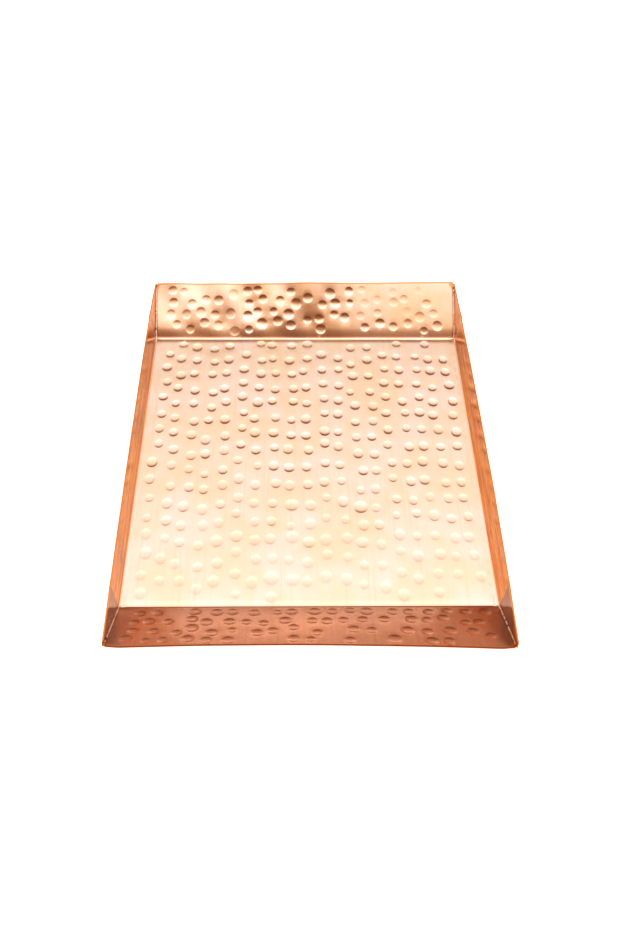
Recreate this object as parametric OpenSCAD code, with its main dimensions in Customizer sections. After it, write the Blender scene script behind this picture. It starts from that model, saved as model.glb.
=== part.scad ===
// Hammered copper tray: one sheet folded up into a floor, two nearly upright side
// walls and two sloping end walls, with a brazed seam in each corner.
// Millimetres. +Z is up, +Y runs to the back end wall, and the origin is the
// middle of the face that the tray rests on.

/* [Floor] */
// Width of the floor between the two side folds
floor_w = 230; // [150:1:350]
// Length of the floor between the two end folds
floor_l = 254; // [150:1:450]

/* [Walls] */
// Height of the rim above the resting face
rim_h = 23.5; // [16:0.5:45]
// Outward lean of the side walls from upright, in degrees
side_lean = 7.5; // [0:0.5:20]
// Outward lean of the end walls from upright, in degrees
end_lean = 64; // [30:0.5:70]

/* [Sheet] */
// Thickness of the copper sheet
sheet_t = 1; // [0.6:0.1:2]
// Inside radius of every fold
fold_r = 1.6; // [0.6:0.1:4]

/* [Corner seams] */
// Gap between an end wall's cut edge and the side wall, filled with braze
seam_gap = 0.5; // [0.2:0.1:1]
// Radius of the braze bead in the inside corner
bead_r = 1.4; // [0.8:0.1:3]

/* [Hidden] */

$fn = 64;
half_w = floor_w / 2;
half_l = floor_l / 2;
wall_rise = rim_h - sheet_t;
// Extruded profiles run past the whole tray by this much
spare = 10;
reach_x = floor_w + 2 * (wall_rise * tan(side_lean) + sheet_t + spare);
reach_y = floor_l + 2 * (wall_rise * tan(end_lean) + sheet_t + spare);
copper = [0.86, 0.50, 0.32];
braze = [0.93, 0.72, 0.55];

// A wall is described in a section across its fold: u runs outwards from the
// middle of the floor, v runs up, and the inner wall face starts at u = half.

// Outward step of the inner wall face at height v
function wall_u(half, lean, v) = half + (v - sheet_t) * tan(lean);

// Distance from a fold's sharp corner to where its rounding of radius r starts
function fold_cut(lean, r) = r * tan(45 - lean / 2);

// Points of one half of a section whose surface lies `out` outside the inner
// face: the foot of the fold, the end of the fold, and the wall's last point
function half_section(half, lean, out, top) =
    let (corner_u = half + out * tan(45 - lean / 2),
         corner_v = sheet_t - out,
         cut = fold_cut(lean, fold_r + out))
    [[corner_u - cut, corner_v],
     [corner_u + cut * sin(lean), corner_v + cut * cos(lean)],
     [wall_u(half, lean, top) + out * cos(lean), top - out * sin(lean)]];

function mirrored(points) = [for (i = [len(points) - 1:-1:0]) [-points[i][0], points[i][1]]];

// Everything above the surface that lies `out` outside the inner faces. The
// wall's end is square to the sheet, as the sheet's cut edge is.
module above_surface(half, lean, out, top) {
    side = concat(half_section(half, lean, out, top),
                  out > 0 ? [[wall_u(half, lean, top), top]] : []);
    polygon(concat(side, mirrored(side)));
    for (s = [-1, 1])
        translate([s * (half - fold_cut(lean, fold_r)), sheet_t + fold_r])
            circle(r = fold_r + out);
}

module outer_section(half, lean) {
    above_surface(half, lean, sheet_t, rim_h);
}

module well_section(half, lean) {
    above_surface(half, lean, 0, rim_h + spare);
}

module folded_section(half, lean) {
    difference() {
        outer_section(half, lean);
        well_section(half, lean);
    }
}

// Section across the end walls' breadth: the room between the side walls,
// less the seam gap on each side
module between_seams() {
    foot_u = wall_u(half_w, side_lean, 0) - seam_gap;
    head_u = wall_u(half_w, side_lean, rim_h + spare) - seam_gap;
    polygon([[-foot_u, 0], [foot_u, 0], [head_u, rim_h + spare], [-head_u, rim_h + spare]]);
}

module along_x() {
    rotate([90, 0, 90]) linear_extrude(height = reach_x, center = true) children();
}

module along_y() {
    rotate([90, 0, 0]) linear_extrude(height = reach_y, center = true) children();
}

// Floor and side walls, with their ends cut to the slope of the end walls
module side_walls_and_floor() {
    intersection() {
        along_y() folded_section(half_w, side_lean);
        along_x() outer_section(half_l, end_lean);
    }
}

// End walls, whose cut edges stop one seam gap short of the side walls
module end_walls() {
    intersection() {
        along_x() folded_section(half_l, end_lean);
        along_y() between_seams();
    }
}

module folded_sheet() {
    union() {
        side_walls_and_floor();
        end_walls();
    }
}

// Braze that fills the gaps beside the end walls. It stands a little way into
// the bead, so that the two are one solid.
module gap_fill() {
    into_bead = min(fold_r, bead_r) / 2;
    intersection() {
        along_x() difference() {
            outer_section(half_l, end_lean);
            above_surface(half_l, end_lean, -into_bead, rim_h + spare);
        }
        along_y() difference() {
            well_section(half_w, side_lean);
            between_seams();
        }
    }
}

// Quarter-round bead along the inside corner at +X and +Y, from the floor up
module corner_bead() {
    run = [wall_rise * tan(side_lean), wall_rise * tan(end_lean), wall_rise];
    foot = 2 * bead_r;
    intersection() {
        translate([half_w, half_l, sheet_t])
            rotate([0, acos(run[2] / norm(run)), atan2(run[1], run[0])])
                translate([0, 0, -foot])
                    cylinder(r = bead_r, h = norm(run) + 2 * foot);
        along_x() intersection() {
            well_section(half_l, end_lean);
            outer_section(half_l, end_lean);
        }
        along_y() well_section(half_w, side_lean);
    }
}

// The seam in the corner at +X and +Y, from the foot of the end fold outwards
module corner_seam() {
    fold_foot = half_l - fold_cut(end_lean, fold_r);
    color(braze) {
        intersection() {
            gap_fill();
            translate([0, fold_foot, 0]) cube([reach_x, reach_y, rim_h]);
        }
        corner_bead();
    }
}

module tray_sheet() {
    color(copper) folded_sheet();
}

module corner_seam_front_left() {
    mirror([1, 0, 0]) mirror([0, 1, 0]) corner_seam();
}

module corner_seam_front_right() {
    mirror([0, 1, 0]) corner_seam();
}

module corner_seam_back_left() {
    mirror([1, 0, 0]) corner_seam();
}

module corner_seam_back_right() {
    corner_seam();
}

tray_sheet();
corner_seam_front_left();
corner_seam_front_right();
corner_seam_back_left();
corner_seam_back_right();
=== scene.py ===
# %% [markdown]
# # A hammered copper tray
# The tray is one sheet of copper, covered in round hammer marks and folded up
# into a flat floor, two nearly upright side walls and two sloping end walls. A
# line of braze closes each of its four corners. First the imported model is
# loaded as a fixed frame, because every visible piece has to sit where its
# part sits.

# %% Load the frame
from math import cos, pi, radians, sin, tan

import bpy
import numpy as np
from mathutils import Matrix, Vector
from mathutils.geometry import delaunay_2d_cdt


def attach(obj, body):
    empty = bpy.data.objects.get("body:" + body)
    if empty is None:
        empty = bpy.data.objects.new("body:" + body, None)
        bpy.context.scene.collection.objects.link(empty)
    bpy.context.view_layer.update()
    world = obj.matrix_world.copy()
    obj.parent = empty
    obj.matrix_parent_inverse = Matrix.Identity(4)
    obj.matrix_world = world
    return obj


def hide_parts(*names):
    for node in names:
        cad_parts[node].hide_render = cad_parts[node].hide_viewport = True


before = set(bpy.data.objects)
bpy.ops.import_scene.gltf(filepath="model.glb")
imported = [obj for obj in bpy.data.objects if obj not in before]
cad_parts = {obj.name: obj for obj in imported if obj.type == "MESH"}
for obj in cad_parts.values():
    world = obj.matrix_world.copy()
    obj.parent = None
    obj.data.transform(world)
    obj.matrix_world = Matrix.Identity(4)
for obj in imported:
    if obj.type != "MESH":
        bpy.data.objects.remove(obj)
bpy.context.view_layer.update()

print("nodes:", sorted(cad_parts))

# %% [markdown]
# ## Sizes
# A maker would write these on the workbench before cutting. The sheet is
# thinner than it looks, and each hammer mark stands out below by as much as it
# is sunk above, so the floor's upper face lies one sheet and one mark above
# the table that the tray rests on. The floor is measured to its fold lines, a
# wall along the sheet from the end of its fold, and a lean is from upright.
# Lengths are in millimetres here, and become metres when a mesh is made.

# %% Sizes of the tray
MM = 0.001
HALF_W, HALF_L = 115.0, 127.1
SHEET = 0.8
MARK_DEPTH = 0.49
FLOOR_Z = SHEET + MARK_DEPTH
END_R, SIDE_R = 3.0, 1.6
END_LEAN, SIDE_LEAN = radians(64), radians(4.5)
END_WALL, SIDE_WALL = 48.0, 20.2
SLIT = 0.4

END_TURN, SIDE_TURN = pi / 2 - END_LEAN, pi / 2 - SIDE_LEAN
END_FOOT = HALF_L - END_R * tan(END_TURN / 2)
SIDE_FOOT = HALF_W - SIDE_R * tan(SIDE_TURN / 2)
END_ARC, SIDE_ARC = END_R * END_TURN, SIDE_R * SIDE_TURN
END_RIM = END_FOOT + END_ARC + END_WALL
SIDE_RIM = SIDE_FOOT + SIDE_ARC + SIDE_WALL
TAB = HALF_W - SLIT
TAB_SPREAD = 1.5
print(f"blank: {2 * SIDE_RIM:.1f} by {2 * END_RIM:.1f} mm")

# %% [markdown]
# ## Camera
# The tray is seen from above its front end, a little from the left, with the
# camera turned down by 46 degrees. The camera is made first, because the
# light is placed by what the metal mirrors towards it.

# %% Camera
TILT, YAW, ROLL = radians(46.1), radians(-1.43), radians(0.97)
ahead = Vector((-sin(YAW) * cos(TILT), cos(YAW) * cos(TILT), -sin(TILT)))
level = Vector((cos(YAW), sin(YAW), 0))
upward = level.cross(ahead)
right = cos(ROLL) * level + sin(ROLL) * upward
above = cos(ROLL) * upward - sin(ROLL) * level
place = Matrix((right, above, -ahead)).transposed().to_4x4()
place.translation = Vector((-10.36, -505.65, 517.66)) * MM
camera = bpy.data.objects.new("camera", bpy.data.cameras.new("camera"))
bpy.context.scene.collection.objects.link(camera)
camera.matrix_world = place
camera.data.lens = 40.6
camera.data.clip_start = 0.01
bpy.context.scene.camera = camera
bpy.context.scene.view_settings.view_transform = "Standard"
print("camera at", tuple(round(v, 3) for v in place.translation))

# %% [markdown]
# ## The blank
# Before it is folded, the tray is a flat cross of sheet metal. Its end tabs
# are nearly straight strips, and its side tabs spread at both ends, so that
# once they stand up, each end is cut to the slope of the end wall beside it.
# The outline is worked out point by point, because those slanted ends come
# from the fold itself: the height that a point reaches decides how far out
# the end wall is there.

# %% How the walls stand
FRONT_BOW, FRONT_SLOPE = 0.012, radians(1.1)
FRONT_CURVE = radians(1.2)
BACK_BOW, BACK_KINK, KINK_WIDTH = 0.003, 0.034, 27
RIGHT_BOW, LEFT_BOW = 0.092, 0.062
BOW_REACH = 169


def dome(t, peak, reach):
    """1 at the peak and 0 at both ends of a wall, without a kink."""
    span = np.where(t < peak, peak + reach, reach - peak)
    return np.clip(1 - ((t - peak) / span) ** 2, 0, 1)


def end_turn(p, sign):
    """How far an end wall is folded up, in radians, along its fold."""
    if sign < 0:
        t = p / TAB
        bow = FRONT_BOW * dome(p, -6, TAB)
        return END_TURN + bow - FRONT_SLOPE * t - FRONT_CURVE * t * t
    kink = BACK_KINK * np.exp(-((p - 1) / KINK_WIDTH) ** 2)
    return END_TURN + BACK_BOW * dome(p, 0, TAB) + kink


def side_turn(q, sign):
    """How far a side wall is folded up; both bow outwards in their middle."""
    if sign > 0:
        return SIDE_TURN - RIGHT_BOW * dome(q, -20, BOW_REACH)
    return SIDE_TURN - LEFT_BOW * dome(q, 60, BOW_REACH)


print("folds at the corners, radians:", round(END_TURN, 3), round(SIDE_TURN, 3))

# %% Outline of the blank
CORNER_ROUND = 9
TIP_ROUND = 3.5


def side_height(s):
    """Height over the floor of a side wall's inner face, s along the sheet."""
    turn = np.clip(s / SIDE_R, 0, SIDE_TURN)
    return SIDE_R * (1 - np.cos(turn)) + np.maximum(s - SIDE_ARC, 0) * cos(SIDE_LEAN)


def tab_half(q):
    """Half the width of an end tab, which spreads a little towards its rim."""
    return TAB + TAB_SPREAD * np.clip((np.abs(q) - END_FOOT - END_ARC) / END_WALL, 0, 1)


def end_rim(p, sign):
    """Cut edge of an end tab: hollow in its middle, rounded at its corners."""
    hollow, corner, extra = (1.3, 1.4, -1.0) if sign < 0 else (1.1, 0.3, 0.9 * p / TAB)
    tip = np.clip((np.abs(p) - TAB + CORNER_ROUND) / CORNER_ROUND, 0, 1) ** 2
    return END_RIM + extra - hollow * dome(p, -12, TAB + 2) - corner * tip


def side_end(s, sx=1, sy=1):
    """How far along the tray a side tab reaches, s along the sheet."""
    turn = float(end_turn(np.array([TAB * sx]), sy)[0])
    slope = HALF_L + side_height(s) / tan(turn) + SHEET / sin(turn)
    corner = END_FOOT + 0.8 * s + np.maximum(s - 1.3, 0) * 20
    cut = float(end_rim(np.array([sx * (TAB + TAB_SPREAD)]), sy)[0])
    wall = cut - END_FOOT - END_R * turn
    rim = END_FOOT + END_R * sin(turn) + wall * cos(turn) + 0.3
    return np.minimum(np.minimum(slope, corner), rim)


def spread(a, b, step):
    """Evenly spaced values from a to b, about one step apart."""
    return np.linspace(a, b, max(2, round(abs(b - a) / step) + 1))


SIDE_TOP = SIDE_ARC + SIDE_WALL


def side_tip(s, sy):
    """Rounding of a side tab's tip, which ends just under the end wall's rim."""
    short = 2.6 if sy > 0 else 2.2
    return short * np.clip((s - SIDE_TOP + TIP_ROUND) / TIP_ROUND, 0, 1) ** 2


def corner_chain(sx, sy):
    """From a side tab's tip down to the floor's corner and out to the end tab's tip."""
    tip, wall = spread(SIDE_TOP, SIDE_TOP - 4, 0.5), spread(SIDE_TOP - 6, SIDE_ARC, 2.2)
    s = np.concatenate([tip, wall, spread(SIDE_ARC, 0, 0.25)[1:]])
    side = np.stack([SIDE_FOOT + s, side_end(s, sx, sy) - side_tip(s, sy)], 1)
    step = TAB - SIDE_FOOT
    rim = float(end_rim(np.array([sx * (TAB + TAB_SPREAD)]), sy)[0])
    up = spread(END_FOOT + step, rim, 2.6)
    tab = np.stack([tab_half(up), up], 1)
    return np.concatenate([side, tab]) * (sx, sy)


EDGE_STEP = 3.0
rim_half = TAB + TAB_SPREAD
p_line = spread(rim_half, -rim_half, EDGE_STEP)[1:-1]
back_rim = np.stack([p_line, end_rim(p_line, 1)], 1)
front_rim = np.stack([-p_line, -end_rim(-p_line, -1)], 1)


def side_rim(sx):
    """Cut edge of a side tab, from its back tip to its front tip."""
    top = np.array([SIDE_TOP])
    tips = [float((side_end(top, sx, sy) - side_tip(top, sy))[0]) * sy for sy in (1, -1)]
    q = spread(tips[0], tips[1], EDGE_STEP)[1:-1]
    return np.stack([np.full(len(q), sx * SIDE_RIM), q], 1)


left_rim, right_rim = side_rim(-1), side_rim(1)[::-1]
outline = np.concatenate([
    corner_chain(1, 1), back_rim, corner_chain(-1, 1)[::-1], left_rim,
    corner_chain(-1, -1), front_rim, corner_chain(1, -1)[::-1], right_rim])
print("outline points:", len(outline))

# %% [markdown]
# ## Hammer marks
# The marks stand in columns along the tray, about 12 mm apart, and drift out of
# line as hand work does. On the floor they are a little longer than wide, and
# deeper towards the back. The end walls have closer rows, and the side walls
# only a few faint marks. They could be drawn by hand, but a loop with a little
# chance in it gives the same uneven order. Each mark has a place, two radii and
# a depth, and a seeded generator makes the same tray each time.

# %% Places of the hammer marks
COLUMNS = 19
FACE_R = 3.55
END_FACE_R = 3.7
chance = np.random.default_rng(41)
marks = []


def clear_of_others(x, y, rx, ry):
    for ox, oy, orx, ory, _ in marks:
        if ((x - ox) / (rx + orx)) ** 2 + ((y - oy) / (ry + ory)) ** 2 < 1.16:
            return False
    return True


def strike(x, y, rx, ry, depth):
    """Add a mark, unless it would run into another."""
    if clear_of_others(x, y, rx, ry):
        marks.append((x, y, rx, ry, min(depth, MARK_DEPTH)))


def wander(y, seed):
    """How a column of marks drifts sideways along the tray."""
    return sin(y / 31 + seed * 2.4) + 0.6 * sin(y / 13.7 + seed * 5.1)


def hammer_floor(pitch=11.6, row=16.2, rows=16):
    """Columns of marks along the floor, struck harder towards the back."""
    for i in range(COLUMNS):
        lag = chance.uniform(-5, 5)
        for j in range(rows):
            x = (i - (COLUMNS - 1) / 2) * pitch + 0.8 * wander(j * row, i)
            x += chance.normal(0, 0.7)
            y = HALF_L - 7.5 - j * row + lag + chance.normal(0, 1.3)
            rx = chance.normal(FACE_R, 0.28)
            ry = rx * chance.uniform(1.08, 1.28)
            if abs(x - 5) < 38 and y < -45 and chance.random() < 0.25:
                rx, ry = rx * 1.3, ry * 1.18
            x = np.clip(x, -SIDE_FOOT + rx + 1.2, SIDE_FOOT - rx - 1.2)
            if abs(y) < END_FOOT - ry - 0.9:
                force = 0.42 + 0.58 * np.clip((y + 100) / 150, 0, 1)
                strike(x, y, rx, ry, chance.uniform(0.36, 0.56) * force * rx / FACE_R)


def end_force(x, j):
    """The back wall was struck hardest in its middle, and its right part hardly."""
    if x > 42:
        return chance.uniform(0.12, 0.3) if j < 3 else chance.uniform(0.4, 0.8)
    return chance.uniform(0.3, 0.65) if x < -48 else chance.uniform(0.8, 1.1)


def hammer_end(sign, rows, pitch, row, top, depth):
    """Rows of marks on an end wall, the first one `top` below its rim."""
    for i in range(COLUMNS):
        lag = chance.uniform(-2.6, 2.6)
        for j in range(rows):
            x = (i - (COLUMNS - 1) / 2) * pitch + chance.normal(0, 1.6) + (j % 2 - 0.5) * 2.6
            y = END_RIM - top - j * row + lag + chance.normal(0, 1.3)
            r = chance.normal(END_FACE_R, 0.35)
            x = np.clip(x, -TAB + r + 2.4, TAB - r - 2.4)
            if END_FOOT + END_ARC + r + 0.8 < y < END_RIM - r - 3.2:
                force = end_force(x, j) if sign > 0 else 1
                ry = r * chance.uniform(0.95, 1.15)
                strike(x, sign * y, r, ry, depth * force * r / END_FACE_R)


def hammer_side(sign, count=23, pitch=12.6):
    """One straggling row of faint marks along a side wall."""
    for j in range(count):
        s = SIDE_ARC + chance.uniform(6, 14.5)
        r = chance.uniform(2.6, 3.6)
        y = (j - (count - 1) / 2) * pitch + chance.normal(0, 2)
        strike(sign * (SIDE_FOOT + s), y, r, r * 1.2, chance.uniform(0.06, 0.16))


hammer_floor()
hammer_end(1, rows=4, pitch=11.3, row=10.5, top=6.8, depth=0.40)
hammer_end(-1, rows=4, pitch=11.5, row=11.4, top=7.6, depth=0.27)
hammer_side(-1)
hammer_side(1)
print("hammer marks:", len(marks))

# %% [markdown]
# ## From outline to mesh
# A hammer mark has a crisp edge, so the mesh needs fine faces there and only
# large ones between the marks. A grid fine enough for the edges would need a
# million faces. Instead rings of points are laid around each mark, rows of
# points along each fold and a loose lattice between them, and one call joins
# all of them into triangles that keep to the outline and the rings. A ring of
# points just inside the outline keeps the shading flat up to the cut edge.

# %% Points of the flat sheet
RINGS = ((1.07, 18), (1.0, 18), (0.9, 18), (0.6, 12), (0.28, 6))
RING_SINK = (0.0, 0.05, 0.29, 0.78, 0.96)
points, lines = [], []


def lay(chain, closed=False):
    """Add a chain of points, with lines between them that the mesh keeps to."""
    start = len(points)
    points.extend((float(x), float(y)) for x, y in chain)
    n = len(chain)
    lines.extend((start + i, start + (i + 1) % n) for i in range(n if closed else n - 1))


lay(outline, closed=True)
for x, y, rx, ry, depth in marks:
    for k, (share, count) in enumerate(RINGS):
        turn = 2 * pi * (np.arange(count) + 0.5 * (k % 2)) / count
        ring = np.stack([x + rx * share * np.cos(turn), y + ry * share * np.sin(turn)], 1)
        if k < 3:
            lay(ring, closed=True)
        else:
            points.extend(map(tuple, ring.tolist()))
    points.append((float(x), float(y)))

FOLD_STEP = 4.0
FOLD_INSET = 0.05
for k in range(6):
    s = SIDE_ARC * k / 5
    for sx in (-1, 1):
        ends = [float(side_end(np.array([s]), sx, sy)[0]) - FOLD_INSET for sy in (-1, 1)]
        run = spread(-ends[0], ends[1], FOLD_STEP)
        lay(np.stack([np.full(len(run), sx * (SIDE_FOOT + s)), run], 1))
for k in range(4):
    q = END_FOOT + END_ARC * k / 3
    reach = SIDE_FOOT + q - END_FOOT - FOLD_INSET
    for sy in (-1, 1):
        run = spread(-reach, reach, FOLD_STEP)
        lay(np.stack([run, np.full(len(run), sy * q)], 1))
print("points on the outline, marks and folds:", len(points))

# %% Points beside the edges and folds
def inset_ring(width):
    """Points a little inside the outline."""
    step = np.roll(outline, -1, axis=0) - np.roll(outline, 1, axis=0)
    inward = np.stack([-step[:, 1], step[:, 0]], 1) / np.linalg.norm(step, axis=1)[:, None]
    x, y = outline[:, 0], outline[:, 1]
    if np.sum(x * np.roll(y, -1) - np.roll(x, -1) * y) < 0:
        inward = -inward
    from_corner = np.hypot(np.abs(x) - SIDE_FOOT - 1, np.abs(y) - END_FOOT)
    return (outline + inward * width)[from_corner > 5]


points.extend(map(tuple, inset_ring(0.7).tolist()))
ROWS_BY_FOLD = (-6.5, -4.6, -3.0, -1.5, 1.6, 3.4, 5.6, 8.2)
for away in ROWS_BY_FOLD:
    q = END_FOOT + away + (END_ARC if away > 0 else 0)
    reach = SIDE_FOOT - 1 if away < 0 else TAB - 1.2
    run = spread(-reach, reach, 3.6)
    for sy in (-1, 1):
        off_mark = np.full(len(run), True)
        for x, y, rx, ry, _ in marks:
            off_mark &= np.hypot((run - x) / (rx + 0.5), (sy * q - y) / (ry + 0.5)) > 1.05
        points.extend((float(x), float(sy * q)) for x in run[off_mark])
print("points with rows along the folds:", len(points))

# %% Loose lattice between the marks
LATTICE = 4.6
lattice_x = np.arange(-SIDE_RIM, SIDE_RIM, LATTICE)
lattice_y = np.arange(-END_RIM, END_RIM, LATTICE)
gx, gy = np.meshgrid(lattice_x, lattice_y)
gx = gx + (np.arange(gx.shape[0]) % 2 * LATTICE / 2)[:, None]
gx, gy = gx.ravel(), gy.ravel()
near = np.full(len(gx), 9.0)
for x, y, rx, ry, _ in marks:
    near = np.minimum(near, np.hypot((gx - x) / (rx + 0.9), (gy - y) / (ry + 0.9)))
out_x, out_y = np.abs(gx), np.abs(gy)
on_floor = (out_x < SIDE_FOOT - 1) & (out_y < END_FOOT - 8)
on_end = (out_x < TAB - 1.4) & (out_y > END_FOOT + END_ARC + 10)
on_end &= out_y < np.minimum(end_rim(gx, -1), end_rim(gx, 1)) - 1.4
up_side = out_x - SIDE_FOOT
on_side = (up_side > SIDE_ARC + 1) & (up_side < SIDE_ARC + SIDE_WALL - 1.4)
on_side &= out_y < side_end(np.maximum(up_side, 0)) - 5.0
free = (on_floor | on_end | on_side) & (near > 1.08)
points.extend(zip(gx[free].tolist(), gy[free].tolist()))
print("points:", len(points), "of which in the lattice:", int(free.sum()))

# %% Triangles of the flat sheet
coords, _, faces, *_ = delaunay_2d_cdt([Vector(p) for p in points], lines, [], 1, 1e-5)
flat = np.array([tuple(c) for c in coords])
print("triangles on one face of the sheet:", len(faces))


def new_piece(name, verts, tris):
    """A mesh object of the given points and faces, in the scene."""
    mesh = bpy.data.meshes.new(name)
    mesh.from_pydata(verts, [], tris)
    mesh.validate()
    piece = bpy.data.objects.new(name, mesh)
    bpy.context.scene.collection.objects.link(piece)
    return piece


def only(piece):
    """Leave this piece alone selected and active, as a click on it would."""
    bpy.ops.object.select_all(action="DESELECT")
    piece.select_set(True)
    bpy.context.view_layer.objects.active = piece


# %% [markdown]
# ## Sinking the marks
# A round hammer face leaves a shallow cap. Near its edge the wall is steepest,
# up to 18 degrees, which is what throws the dark and light crescents. The rest
# of the sheet isn't quite flat either: hammering stretches it, so it swells in
# soft waves a tenth of a millimetre high. The folding bar leaves a trough along
# each end fold, deeper at the back, and the back wall has larger buckles.

# %% Sink the marks
def mark_share(x, y):
    """How deep each point is sunk by the mark that it lies in."""
    sunk = np.zeros(len(x))
    shares = [0] + [share for share, _ in RINGS][::-1]
    for mx, my, rx, ry, depth in marks:
        near = np.nonzero((np.abs(x - mx) < rx * 1.1) & (np.abs(y - my) < ry * 1.1))[0]
        away = np.hypot((x[near] - mx) / rx, (y[near] - my) / ry)
        sunk[near] += depth * np.interp(away, shares, (1,) + RING_SINK[::-1])
    return sunk


def swell(x, y):
    """Soft waves that hammering leaves in the sheet."""
    waves = np.zeros(len(x))
    for _ in range(14):
        a, length = chance.uniform(0, 2 * pi), chance.uniform(22, 70)
        across_wave = (x * cos(a) + y * sin(a)) * 2 * pi / length
        waves += np.sin(across_wave + chance.uniform(0, 6.3)) * length
    return waves / np.abs(waves).max()


def groove(y):
    """Shallow trough that the folding bar presses along each end fold."""
    s = np.abs(y) - END_FOOT
    floor_side = np.clip(1 + s / 5, 0, 1) ** 2
    wall_side = np.clip(1 - (s - END_ARC) / 7.5, 0, 1) ** 1.2
    pressed = np.where(y < 0, 0.35, 1.0)
    return pressed * np.where(s < 0, floor_side, np.where(s > END_ARC, wall_side, 1.0))


def buckle(x, y):
    """Larger buckles in the left and middle of the back wall."""
    on_back = np.clip((y - END_FOOT - END_ARC) / 12, 0, 1)
    there = np.clip((35 - x) / 30, 0.12, 1)
    large = np.sin(x / 7.4 + 0.8) * np.cos(y / 9 + x / 23)
    small = 0.4 * np.sin(x / 4.9 + y / 8)
    return on_back * there * (large + small)


SWELL, TROUGH, BUCKLE = 0.09, 0.42, 0.24
flat_x, flat_y = flat[:, 0], flat[:, 1]
sink = mark_share(flat_x, flat_y)
height = SWELL * swell(flat_x, flat_y) - sink - TROUGH * groove(flat_y)
height += BUCKLE * buckle(flat_x, flat_y)
sheet = new_piece("copper_tray", np.column_stack([flat, height]).tolist(), faces)
print("deepest mark:", round(float(sink.max()), 3), "mm")

# %% [markdown]
# ## Pattern coordinates
# The brushed grain runs along the tray and bends with the sheet at each fold.
# So the flat place of each point is kept as a UV map before the sheet is
# folded, and the finish reads that map.

# %% Keep the flat place as a UV map
blank = sheet.data.uv_layers.new(name="blank")
corner_vert = np.zeros(len(sheet.data.loops), int)
sheet.data.loops.foreach_get("vertex_index", corner_vert)
blank.data.foreach_set("uv", (flat[corner_vert] * MM).ravel())
print("grain map covers", np.ptp(flat, axis=0).round(1), "mm")

# %% [markdown]
# ## Worn and highlighted edges
# Hands and cloths rub a tray most along its rim, and a brighter strip is painted
# there, partly rubbed metal and partly a painted highlight. The cut edge is painted
# darker on the end walls and a deeper orange on the side walls. Each point keeps its
# distance from the outline as an attribute, so that the finish can find both.

# %% Distance from the outline
FAR = 12.0


def from_outline(xy):
    """Shortest distance from each point to the blank's outline, up to FAR."""
    best = np.full(len(xy), FAR)
    for a, b in zip(outline, np.roll(outline, -1, axis=0)):
        lo, hi = np.minimum(a, b) - FAR, np.maximum(a, b) + FAR
        near = np.nonzero(np.all((xy > lo) & (xy < hi), axis=1))[0]
        t = np.clip((xy[near] - a) @ (b - a) / max((b - a) @ (b - a), 1e-9), 0, 1)
        away = np.linalg.norm(xy[near] - a - t[:, None] * (b - a), axis=1)
        best[near] = np.minimum(best[near], away)
    return best


gap_to_rim = from_outline(flat)
rim_gap = sheet.data.attributes.new("rim_gap", "FLOAT", "POINT")
rim_gap.data.foreach_set("value", gap_to_rim * MM)
print("points on the cut edge:", int((gap_to_rim < 0.01).sum()))

# %% [markdown]
# ## Thickness
# Solidify gives the sheet its 0.8 mm downwards, so that every mark sunk above
# shows as a bump below, as on real hammered work. Then the sharp cut edge is
# eased with a bevel, as a file does.

# %% Thickness and eased edge
EASE = 0.16
only(sheet)
thick = sheet.modifiers.new("thickness", "SOLIDIFY")
thick.thickness, thick.offset = SHEET, -1
thick.use_even_offset = False
bpy.ops.object.modifier_apply(modifier=thick.name)
ease = sheet.modifiers.new("eased edge", "BEVEL")
ease.width, ease.segments = EASE, 2
ease.limit_method, ease.angle_limit = "ANGLE", radians(50)
bpy.ops.object.modifier_apply(modifier=ease.name)
print("faces with thickness:", len(sheet.data.polygons))

# %% [markdown]
# ## Folding
# A fold is a quarter turn or less around a round bar. A point that lies before
# the fold stays, a point in it goes round the bar, and a point past it is
# carried on in a straight line. Blender's bend would treat all four folds as
# one, so the same mapping is written here. The lean changes a little along
# each wall, because the real walls were folded by hand and bow.

# %% Fold the walls up
def fold_over(s, w, turn, bar):
    """Outward and upward place of a point s past a fold's foot, w over the face."""
    a = np.clip(s / bar, 0, turn)
    past = np.maximum(s - bar * turn, 0)
    out = (bar - w) * np.sin(a) + past * np.cos(turn) + np.minimum(s, 0)
    up = bar - (bar - w) * np.cos(a) + past * np.sin(turn)
    return out, up


def folded(p, q, w):
    """Place after folding of points p across, q along and w over the blank."""
    ap, aq = np.abs(p), np.abs(q)
    x, y, z = p.copy(), q.copy(), w.copy()
    past_side, past_end = ap - SIDE_FOOT, aq - END_FOOT
    is_side = (ap > tab_half(aq) + 0.05) | ((past_side > 0) & (past_side > past_end))
    is_end = ~is_side & (past_end > 0)
    for sign in (-1, 1):
        m = is_side & (p * sign > 0)
        out, z[m] = fold_over(past_side[m], w[m], side_turn(q[m], sign), SIDE_R)
        x[m] = sign * (SIDE_FOOT + out)
        m = is_end & (q * sign > 0)
        out, z[m] = fold_over(past_end[m], w[m], end_turn(p[m], sign), END_R)
        y[m] = sign * (END_FOOT + out)
    return np.column_stack([x, y, z + FLOOR_Z])


def get_points(mesh):
    co = np.zeros(len(mesh.vertices) * 3)
    mesh.vertices.foreach_get("co", co)
    return co.reshape(-1, 3)


def set_points(mesh, co):
    mesh.vertices.foreach_set("co", np.ascontiguousarray(co, dtype=float).ravel())
    mesh.update()


co = get_points(sheet.data)
co = folded(co[:, 0], co[:, 1], co[:, 2])
co[:, 2] = np.maximum(co[:, 2], 0.0)
set_points(sheet.data, co * MM)
only(sheet)
bpy.ops.object.shade_smooth_by_angle(angle=radians(35))
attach(sheet, "root")
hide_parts("tray_sheet")
print("tray box, mm:", co.min(0).round(2), co.max(0).round(2))

# %% [markdown]
# ## Corner seams
# Braze is copper-coloured filler that is melted into the open corner. It fills
# the slit between the two walls and leaves a thin, uneven bead on the inside
# that ends in a small pool on the floor. Each bead starts as one ring of
# points, is extruded step by step up the corner, and is nudged at each step,
# so that no two of them are alike.

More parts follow.
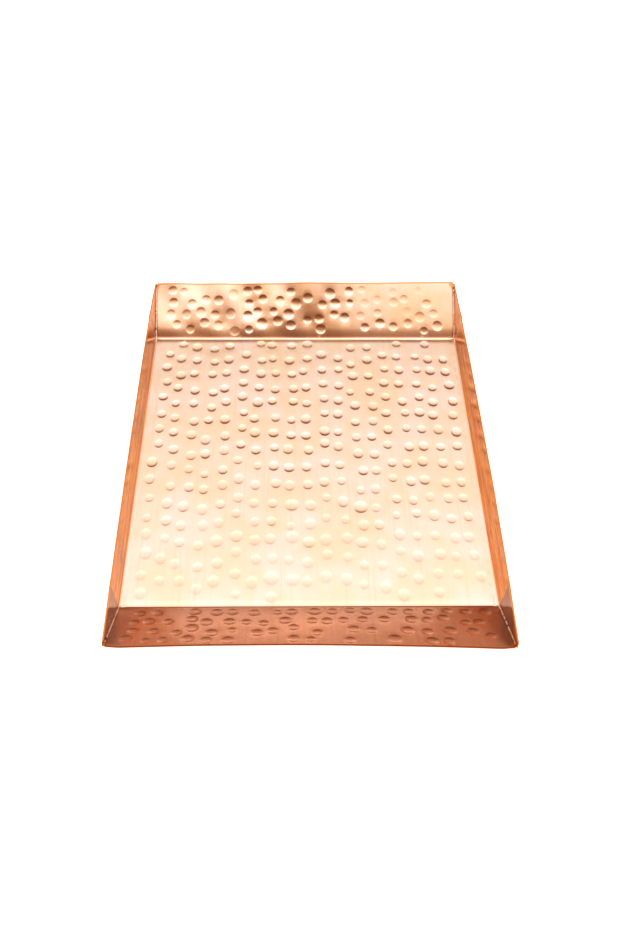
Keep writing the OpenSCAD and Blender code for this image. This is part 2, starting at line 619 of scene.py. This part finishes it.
# %% Section of a bead
BEAD_R = 0.5
BEAD_STEPS = 34
BEAD_START = -1.2


def bead_profile(r):
    """Section of a bead: round inside, then down through the slit."""
    under = SHEET + 0.12
    crown = [(-r, -0.12), (-0.94 * r, 0.34 * r), (-0.66 * r, 0.72 * r), (-0.3 * r, 0.93 * r)]
    by_wall = [(0.08, r), (0.08, 0.2), (0.06, -0.35), (0.02, -under)]
    by_cut = [(-SLIT - 0.05, -under), (-SLIT - 0.09, -0.4)]
    return crown + by_wall + by_cut


print("points round a bead:", len(bead_profile(BEAD_R)))

# %% Lay the braze
def bead_radii(own, reach, length):
    """Uneven radii up the corner, swollen to a pool on the floor and thin at the tip."""
    rough = np.convolve(own.normal(0, 1, BEAD_STEPS + 9), np.ones(3) / 3, "same")[4:-4]
    pool = np.exp(-((reach - 0.4) / 1.5) ** 2)
    taper = np.interp(reach, [BEAD_START, -0.6, length - 1.2, length], [0.35, 1, 1, 0.55])
    return BEAD_R * (1 + 0.25 * rough) * (1 + 0.6 * pool) * taper


def lay_braze(name, sx, sy, seed):
    own = np.random.default_rng(seed)
    length = float(end_rim(np.array([sx * rim_half]), sy)[0]) - END_FOOT - 0.5
    bpy.ops.object.select_all(action="DESELECT")
    bpy.ops.mesh.primitive_circle_add(vertices=10, radius=MM, enter_editmode=True)
    seam = bpy.context.object
    seam.name = seam.data.name = name
    for _ in range(BEAD_STEPS):
        bpy.ops.mesh.extrude_edges_move(TRANSFORM_OT_translate={"value": (0, 0, MM)})
    bpy.ops.object.mode_set(mode="OBJECT")
    turn = end_turn(np.array([sx * TAB]), sy)[0]
    reach = np.linspace(BEAD_START, length, BEAD_STEPS + 1)
    rows = []
    for s, radius in zip(reach, bead_radii(own, reach, length)):
        lean_in = side_turn(np.array([sy * (END_FOOT + s * cos(END_TURN))]), sx)[0]
        row = []
        for u, v in bead_profile(radius):
            out, up = fold_over(np.array([s]), np.array([v]), turn, END_R)
            x = HALF_W + u + own.normal(0, 0.02) + up[0] / tan(lean_in)
            row.append((sx * x, sy * (END_FOOT + out[0]), max(up[0] + FLOOR_Z, 0.05)))
        rows.append(row)
    set_points(seam.data, np.array(rows).reshape(-1, 3) * MM)
    only(seam)
    bpy.ops.object.mode_set(mode="EDIT")
    bpy.ops.mesh.select_all(action="DESELECT")
    bpy.ops.mesh.select_non_manifold()
    bpy.ops.mesh.fill()
    bpy.ops.mesh.select_all(action="SELECT")
    bpy.ops.mesh.normals_make_consistent(inside=False)
    bpy.ops.object.mode_set(mode="OBJECT")
    smooth = seam.modifiers.new("melted", "SUBSURF")
    smooth.levels = smooth.render_levels = 1
    bpy.ops.object.modifier_apply(modifier=smooth.name)
    bpy.ops.object.shade_smooth()
    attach(seam, "root")
    print(name, "faces:", len(seam.data.polygons))
    return seam


seams = {}
for end, sy in (("front", -1), ("back", 1)):
    for side, sx in (("left", -1), ("right", 1)):
        seams[end, side] = lay_braze(f"braze_{end}_{side}", sx, sy, 7 + 3 * sx + sy)
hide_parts("corner_seam_front_left")
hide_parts("corner_seam_front_right")
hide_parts("corner_seam_back_left")
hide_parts("corner_seam_back_right")

# %% [markdown]
# ## Writing a finish
# A finish is a chain of nodes. This small class holds one socket and lets it
# stand in a Python sum, so that `1 - mask` adds a Math node. Every other node
# comes from its one method, `node`.

# %% Sockets that take part in sums
class Wire:
    """One socket of a node tree, which may stand in a sum."""

    def __init__(self, tree, socket=None):
        self.tree, self.socket = tree, socket

    def node(self, kind, settings, values, out=0):
        """Add a node, set it up first, then give its sockets values or links."""
        made = self.tree.nodes.new(kind)
        for key, value in settings.items():
            if key == "stops":
                ramp = made.color_ramp.elements
                while len(ramp) < len(value):
                    ramp.new(0.5)
                for stop, (at, colour) in zip(ramp, value):
                    stop.position, stop.color = at, (*colour, 1)
            else:
                setattr(made, key, value)
        for key, value in values.items():
            if isinstance(value, Wire):
                self.tree.links.new(value.socket, made.inputs[key])
            else:
                made.inputs[key].default_value = value
        return Wire(self.tree, made.outputs[out])

    def maths(self, operation, *terms):
        return self.node("ShaderNodeMath", {"operation": operation}, dict(enumerate(terms)))

    def __add__(self, other):
        return self.maths("ADD", self, other)

    def __sub__(self, other):
        return self.maths("SUBTRACT", self, other)

    def __rsub__(self, other):
        return self.maths("SUBTRACT", other, self)

    def __mul__(self, other):
        return self.maths("MULTIPLY", self, other)

    def __abs__(self):
        return self.maths("ABSOLUTE", self)

    __radd__, __rmul__ = __add__, __mul__

    def rise(self, low, high):
        """0 below low, 1 above high, and a smooth rise between them."""
        return self.node("ShaderNodeMapRange", {"interpolation_type": "SMOOTHSTEP"},
                         {"Value": self, "From Min": low, "From Max": high})

    def blend(self, base, top):
        """Colour that goes from base to top as this mask goes from 0 to 1."""
        pair = {6: base, 7: top}
        for key, value in pair.items():
            if not isinstance(value, Wire):
                pair[key] = (*value, 1)
        return self.node("ShaderNodeMix", {"data_type": "RGBA"}, {0: self, **pair}, 2)


def new_finish(name):
    """An empty finish: its starting wire, and the sockets of its one shader."""
    finish = bpy.data.materials.new(name)
    finish.use_nodes = True
    shader = finish.node_tree.nodes["Principled BSDF"]
    return finish, Wire(finish.node_tree), shader.inputs


def feed(wire, socket):
    wire.tree.links.new(wire.socket, socket)


print("finish kit ready")

# %% [markdown]
# ## Copper
# Copper mirrors what is around it and tints it orange-pink. The sheet was
# brushed along its length before it was hammered, so fine lines run that way,
# and they spread its reflections. Noise that is stretched along the flat sheet
# gives those lines, and it follows the folds because it reads the flat place.

# %% Grain of the copper
copper, start, copper_in = new_finish("hammered_copper")
copper_in["Metallic"].default_value = 1.0
place_on_blank = start.node("ShaderNodeUVMap", {"uv_map": "blank"}, {})
across = start.node("ShaderNodeSeparateXYZ", {}, {0: place_on_blank}, 0)
along = start.node("ShaderNodeSeparateXYZ", {}, {0: place_on_blank}, 1)


def grain(wire, per_across, per_along, detail, seed):
    """Noise on the flat sheet, stretched along it."""
    stretched = {0: across * per_across, 1: along * per_along, 2: seed}
    at = wire.node("ShaderNodeCombineXYZ", {}, stretched)
    values = {"Vector": at, "Scale": 1.0, "Detail": detail, "Roughness": 0.6}
    return wire.node("ShaderNodeTexNoise", {}, values)


brushed = grain(start, 1500, 34, 3, 0)
streaks = grain(start, 420, 14, 2, 3)
cloud = grain(start, 30, 22, 2, 7)
fleck = grain(start, 700, 600, 2, 11)
lines_on_side = grain(start, 420, 16, 3, 5)
painted_streak_noise = grain(start, 300, 26, 3, 9)
tone = cloud.rise(0.38, 0.62).blend((0.965, 0.705, 0.600), (0.960, 0.665, 0.490))
tone = (streaks.rise(0.5, 0.75) * 0.4).blend(tone, (0.93, 0.60, 0.42))
print("grain nodes:", len(copper.node_tree.nodes))

# %% [markdown]
# ## Tones of the walls, and painted reflections and shade
# Each wall's inner face is painted deeper and more orange than the floor, darker
# towards both ends of the side walls and beside the front fold, and grey-brown at
# the front wall's mitres: painted reflections of the facing walls and painted
# shade, not a change in the copper itself. Each wall is found by its place on the
# flat sheet, and its inner face by the way it faces: there the surface looks back
# towards the middle of the tray. Only the inner faces get the deepest streaks and
# these painted reflections, as they are the ones that mirror each other.

# %% Where the walls are
spot = start.node("ShaderNodeTexCoord", {}, {}, "Object")
facing = start.node("ShaderNodeTexCoord", {}, {}, "Normal")
product = {"operation": "DOT_PRODUCT"}
outward = start.node("ShaderNodeVectorMath", product, {0: spot, 1: facing}, "Value")
inner_face = 1 - outward.rise(-0.001, 0.001)
side_mask = abs(across).rise((SIDE_FOOT + 1.2) * MM, (SIDE_FOOT + 2.4) * MM)
forward = along * -1
front_mask = forward.rise((END_FOOT + 0.2) * MM, (END_FOOT + 0.8) * MM) * (1 - side_mask)
outer_tone = streaks.rise(0.35, 0.75).blend((0.84, 0.44, 0.27), (0.81, 0.405, 0.24))
print("nodes with the wall masks:", len(copper.node_tree.nodes))

# %% Tone and painted reflections of the side walls
# Inner side walls painted a deep orange: a painted reflection of the copper walls mirroring
# each other.
side_tone_and_painted_light = lines_on_side.rise(0.42, 0.58).blend((0.81, 0.35, 0.055), (0.71, 0.19, 0.008))
# Dark streaks painted into that reflection.
painted_dark_streaks = painted_streak_noise.rise(0.50, 0.64) * 0.7
side_tone_and_painted_light = painted_dark_streaks.blend(side_tone_and_painted_light, (0.40, 0.13, 0.02))
# Painted shade towards the back end, and a painted reflection of the front wall past the front
# fold.
back_end_shade = along.rise((END_FOOT - 45) * MM, (END_FOOT + 5) * MM) * 0.45
front_wall_reflection = forward.rise((END_FOOT - 0.5) * MM, (END_FOOT + 1.5) * MM) * 0.95
side_tone_and_painted_light = (back_end_shade + front_wall_reflection).blend(side_tone_and_painted_light, (0.28, 0.10, 0.035))
# The outer faces keep the plain copper tone; the painted reflections stay on the inner faces.
side_tone_and_painted_light = inner_face.blend(outer_tone, side_tone_and_painted_light)
tone = side_mask.blend(tone, side_tone_and_painted_light)
print("nodes with the side walls:", len(copper.node_tree.nodes))

# %% Tone, painted reflection and painted shade of the front wall
# The front wall's inner face is painted a darker terracotta than the floor: a painted
# reflection of what it faces.
front_tone_and_painted_light = streaks.rise(0.40, 0.65).blend((0.90, 0.53, 0.385), (0.87, 0.49, 0.34))
# Painted reflection of the side walls: grey-brown towards both mitres.
mitre_reflection = abs(across).rise((TAB - 15) * MM, (TAB - 1) * MM) * 0.8
front_tone_and_painted_light = mitre_reflection.blend(front_tone_and_painted_light, (0.58, 0.42, 0.37))
# Painted shade: darker beside the front fold.
fold_shade = (1 - forward.rise((END_FOOT + 2) * MM, (END_FOOT + 30) * MM)) * 0.6
front_tone_and_painted_light = fold_shade.blend(front_tone_and_painted_light, (0.60, 0.37, 0.29))
front_tone_and_painted_light = inner_face.blend(outer_tone, front_tone_and_painted_light)
tone = front_mask.blend(tone, front_tone_and_painted_light)
print("nodes with the front wall:", len(copper.node_tree.nodes))

# %% [markdown]
# ## Rim and gloss
# The top few millimetres of each wall get a brighter strip, partly rubbed metal and
# partly a painted highlight, brightest on the front wall; the cut edge is darker on
# the end walls and a deeper orange on the side walls. Both come from the distance
# that each point keeps to the outline. The gloss isn't even either: brushing
# roughens the metal in lines, and a faint bump of the same lines breaks up what it
# mirrors.

# %% Rubbed and highlighted rim, cut edge and gloss
gap = start.node("ShaderNodeAttribute", {"attribute_name": "rim_gap"}, {}, "Fac")
at_rim = abs(along).rise((END_RIM - 7) * MM, (END_RIM - 5) * MM)
at_rim = at_rim + abs(across).rise((SIDE_RIM - 4) * MM, (SIDE_RIM - 3) * MM)
# A brighter strip along the rim: partly rubbed metal, partly a painted highlight, brightest on
# the front wall.
rubbed_rim_and_highlight = (1 - gap.rise(0.7 * MM, 1.9 * MM)) * at_rim * 0.85
tone = rubbed_rim_and_highlight.blend(tone, front_mask.blend((0.80, 0.30, 0.09), (1.0, 0.52, 0.26)))
# The cut edge is darker on the end walls and a deeper orange on the side walls.
cut_edge = 1 - gap.rise(0.10 * MM, 0.35 * MM)
tone = cut_edge.blend(tone, side_mask.blend((0.34, 0.10, 0.035), (0.72, 0.25, 0.05)))
feed(tone, copper_in["Base Color"])
feed(0.13 + 0.08 * brushed + 0.04 * cloud + 0.2 * cut_edge, copper_in["Roughness"])
relief = brushed * 0.7 + fleck * 0.3
scratches = {"Strength": 0.10, "Distance": 0.0002, "Height": relief}
feed(start.node("ShaderNodeBump", {}, scratches), copper_in["Normal"])
sheet.data.materials.append(copper)
print("copper nodes:", len(copper.node_tree.nodes))

# %% [markdown]
# ## Braze
# The filler is painted pale cream: partly its own colour, paler than copper, and
# partly a painted highlight along the bead. It isn't polished as well. Burnt flux
# leaves dark specks in it, so it reads its own place on the object: a noise picks
# the specks, and another roughens it.

# %% Braze finish
braze, start, braze_in = new_finish("corner_braze")
braze_in["Metallic"].default_value = 1.0
spot = start.node("ShaderNodeTexCoord", {}, {}, "Object")
specks = start.node("ShaderNodeTexNoise", {}, {"Vector": spot, "Scale": 300.0, "Detail": 2.0})
patches = start.node("ShaderNodeTexNoise", {}, {"Vector": spot, "Scale": 120.0, "Detail": 2.0})
# Pale cream tone: partly the filler's own colour, partly a painted highlight.
tone = patches.rise(0.42, 0.6).blend((0.98, 0.84, 0.72), (0.90, 0.55, 0.36))
tone = specks.rise(0.57, 0.62).blend(tone, (0.12, 0.05, 0.03))
feed(tone, braze_in["Base Color"])
feed(0.28 + 0.3 * specks, braze_in["Roughness"])
pits = {"Strength": 0.4, "Distance": 0.0002, "Height": specks}
feed(start.node("ShaderNodeBump", {}, pits), braze_in["Normal"])
for seam in seams.values():
    seam.data.materials.append(braze)
print("braze nodes:", len(braze.node_tree.nodes))

# %% [markdown]
# ## Table and light
# The tray lies on a wide white table. A mirror-like metal shows its
# surroundings more than its lamps, so the light is one soft sky, whose light
# changes with the angle above the far edge of the table: dim up to 30 degrees,
# which makes the dark crescents, then brighter up to the top, and a dim room
# behind the camera. The sides are evenly bright. The camera itself sees plain
# white beyond the table.

# %% Table
TABLE_WIDTH = 8
bpy.ops.object.select_all(action="DESELECT")
bpy.ops.mesh.primitive_plane_add(size=TABLE_WIDTH, location=(0, 0, 0))
table = bpy.context.object
table.name = "white_table"
bpy.ops.object.mode_set(mode="EDIT")
bpy.ops.mesh.select_all(action="SELECT")
bpy.ops.mesh.subdivide(number_cuts=3)
bpy.ops.object.mode_set(mode="OBJECT")
table_finish, start, table_in = new_finish("white_table")
table_in["Base Color"].default_value = (0.9, 0.9, 0.9, 1)
table_in["Roughness"].default_value = 0.9
table_in["Emission Color"].default_value = (1, 1, 1, 1)
table_in["Emission Strength"].default_value = 0.9
table.data.materials.append(table_finish)
print("table faces:", len(table.data.polygons))

# %% Sky of soft light
world = bpy.data.worlds.new("studio")
world.use_nodes = True
bpy.context.scene.world = world
sky = Wire(world.node_tree)
toward = sky.node("ShaderNodeTexCoord", {}, {}, "Generated")
dir_x = sky.node("ShaderNodeSeparateXYZ", {}, {0: toward}, 0)
dir_y = sky.node("ShaderNodeSeparateXYZ", {}, {0: toward}, 1)
dir_z = sky.node("ShaderNodeSeparateXYZ", {}, {0: toward}, 2)
angle = sky.maths("ARCTAN2", dir_z, dir_y) * (1 / pi)
print("sky nodes that find the angle:", len(world.node_tree.nodes))

# %% Light at each angle, in degrees
SKY = (
    (0, (0.55, 0.30, 0.20)), (5, (0.57, 0.31, 0.21)), (9, (0.63, 0.34, 0.215)),
    (13.5, (0.30, 0.12, 0.055)), (18.5, (0.22, 0.07, 0.025)), (28, (0.22, 0.07, 0.025)),
    (33, (0.58, 0.34, 0.20)), (36.5, (0.98, 0.90, 0.78)), (41, (1.04, 1.04, 0.94)),
    (52, (1.30, 1.26, 1.18)), (66, (1.90, 1.90, 1.85)), (78, (2.00, 2.00, 2.00)),
    (86, (1.65, 1.56, 1.42)), (89.5, (1.36, 1.18, 0.90)), (91.8, (1.08, 0.72, 0.38)),
    (94.2, (0.62, 0.28, 0.11)), (98, (0.28, 0.11, 0.045)), (107, (0.18, 0.06, 0.025)),
    (180, (0.30, 0.12, 0.06)))
SKY_TOP = 2.0
SIDE_GLOW = (1.25, 1.02, 0.80)
PLAIN_WHITE = (1.0, 1.0, 1.0)


def share_of_top(light):
    return tuple(part / SKY_TOP for part in light)


stops = [(degrees / 180, share_of_top(light)) for degrees, light in SKY]
glow = sky.node("ShaderNodeValToRGB", {"stops": stops}, {0: angle})
glow = abs(dir_x).rise(0.35, 0.75).blend(glow, share_of_top(SIDE_GLOW))
seen = sky.node("ShaderNodeLightPath", {}, {}, "Is Camera Ray")
colour = seen.blend(glow, share_of_top(PLAIN_WHITE))
backdrop = world.node_tree.nodes["Background"].inputs
feed(colour, backdrop["Color"])
backdrop["Strength"].default_value = SKY_TOP
print("sky nodes:", len(world.node_tree.nodes))
